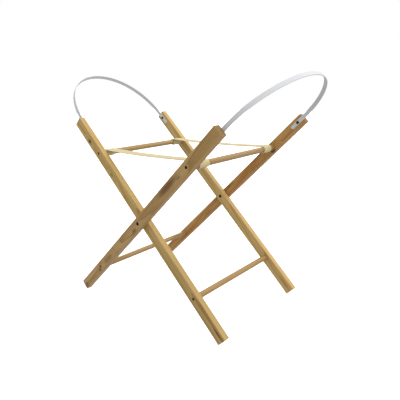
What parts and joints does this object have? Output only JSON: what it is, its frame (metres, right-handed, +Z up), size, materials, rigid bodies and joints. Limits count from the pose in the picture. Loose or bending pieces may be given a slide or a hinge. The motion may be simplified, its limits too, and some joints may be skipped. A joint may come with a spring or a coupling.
{
  "type": "folding bassinet stand",
  "caption": "Folding wooden stand for a baby's basket: crossed frames on a pivot, round rails, webbing straps and a plastic bow at each end.",
  "frame": {"origin": "on the floor, straight below the pivot, half-way across the stand", "axes": "+Z up; +X the way the outer frame's top leans; Y across the stand, along the rails and the pivot"},
  "size_m": [0.7915, 0.42, 0.6738],
  "materials": {
    "outer_leg_wood": "clear satin varnish on pine",
    "inner_leg_wood": "clear satin varnish on pine",
    "rail_wood": "clear satin varnish on turned pine",
    "bow_plastic": "smooth, slightly satin",
    "webbing": "plain woven cotton webbing",
    "dark_steel": "dark bronzed screws and bolts",
    "bright_steel": "plain zinc"
  },
  "bodies": {
    "outer_frame": {"outer_leg_front": "outer_leg_wood", "outer_leg_back": "outer_leg_wood", "outer_upper_rail": "rail_wood", "outer_lower_rail": "rail_wood", "outer_bow": "bow_plastic", "strap_front": "webbing", "strap_back": "webbing", "pivot_bolt_front": "dark_steel", "pivot_bolt_back": "dark_steel", "pivot_washer_front": "bright_steel", "pivot_washer_back": "bright_steel", "pivot_nut_front": "dark_steel", "pivot_nut_back": "dark_steel", "screw_outer_upper_front": "dark_steel", "screw_outer_upper_back": "dark_steel", "screw_outer_lower_front": "dark_steel", "screw_outer_lower_back": "dark_steel", "bow_screw_outer_front": "dark_steel", "bow_screw_outer_back": "dark_steel", "staples_outer_front": "bright_steel", "staples_outer_back": "bright_steel"},
    "inner_frame": {"inner_leg_front": "inner_leg_wood", "inner_leg_back": "inner_leg_wood", "inner_upper_rail": "rail_wood", "inner_lower_rail": "rail_wood", "inner_bow": "bow_plastic", "screw_inner_upper_front": "dark_steel", "screw_inner_upper_back": "dark_steel", "screw_inner_lower_front": "dark_steel", "screw_inner_lower_back": "dark_steel", "bow_screw_inner_front": "dark_steel", "bow_screw_inner_back": "dark_steel", "staples_inner_front": "bright_steel", "staples_inner_back": "bright_steel"}
  },
  "joints": [
    {"name": "fold", "type": "hinge", "parent": "outer_frame", "child": "inner_frame", "pos_m": [0, 0, 0.27396], "axis": [0, 1, 0], "range_deg": [0, 84], "deforming": ["strap_front", "strap_back"]}
  ]
}
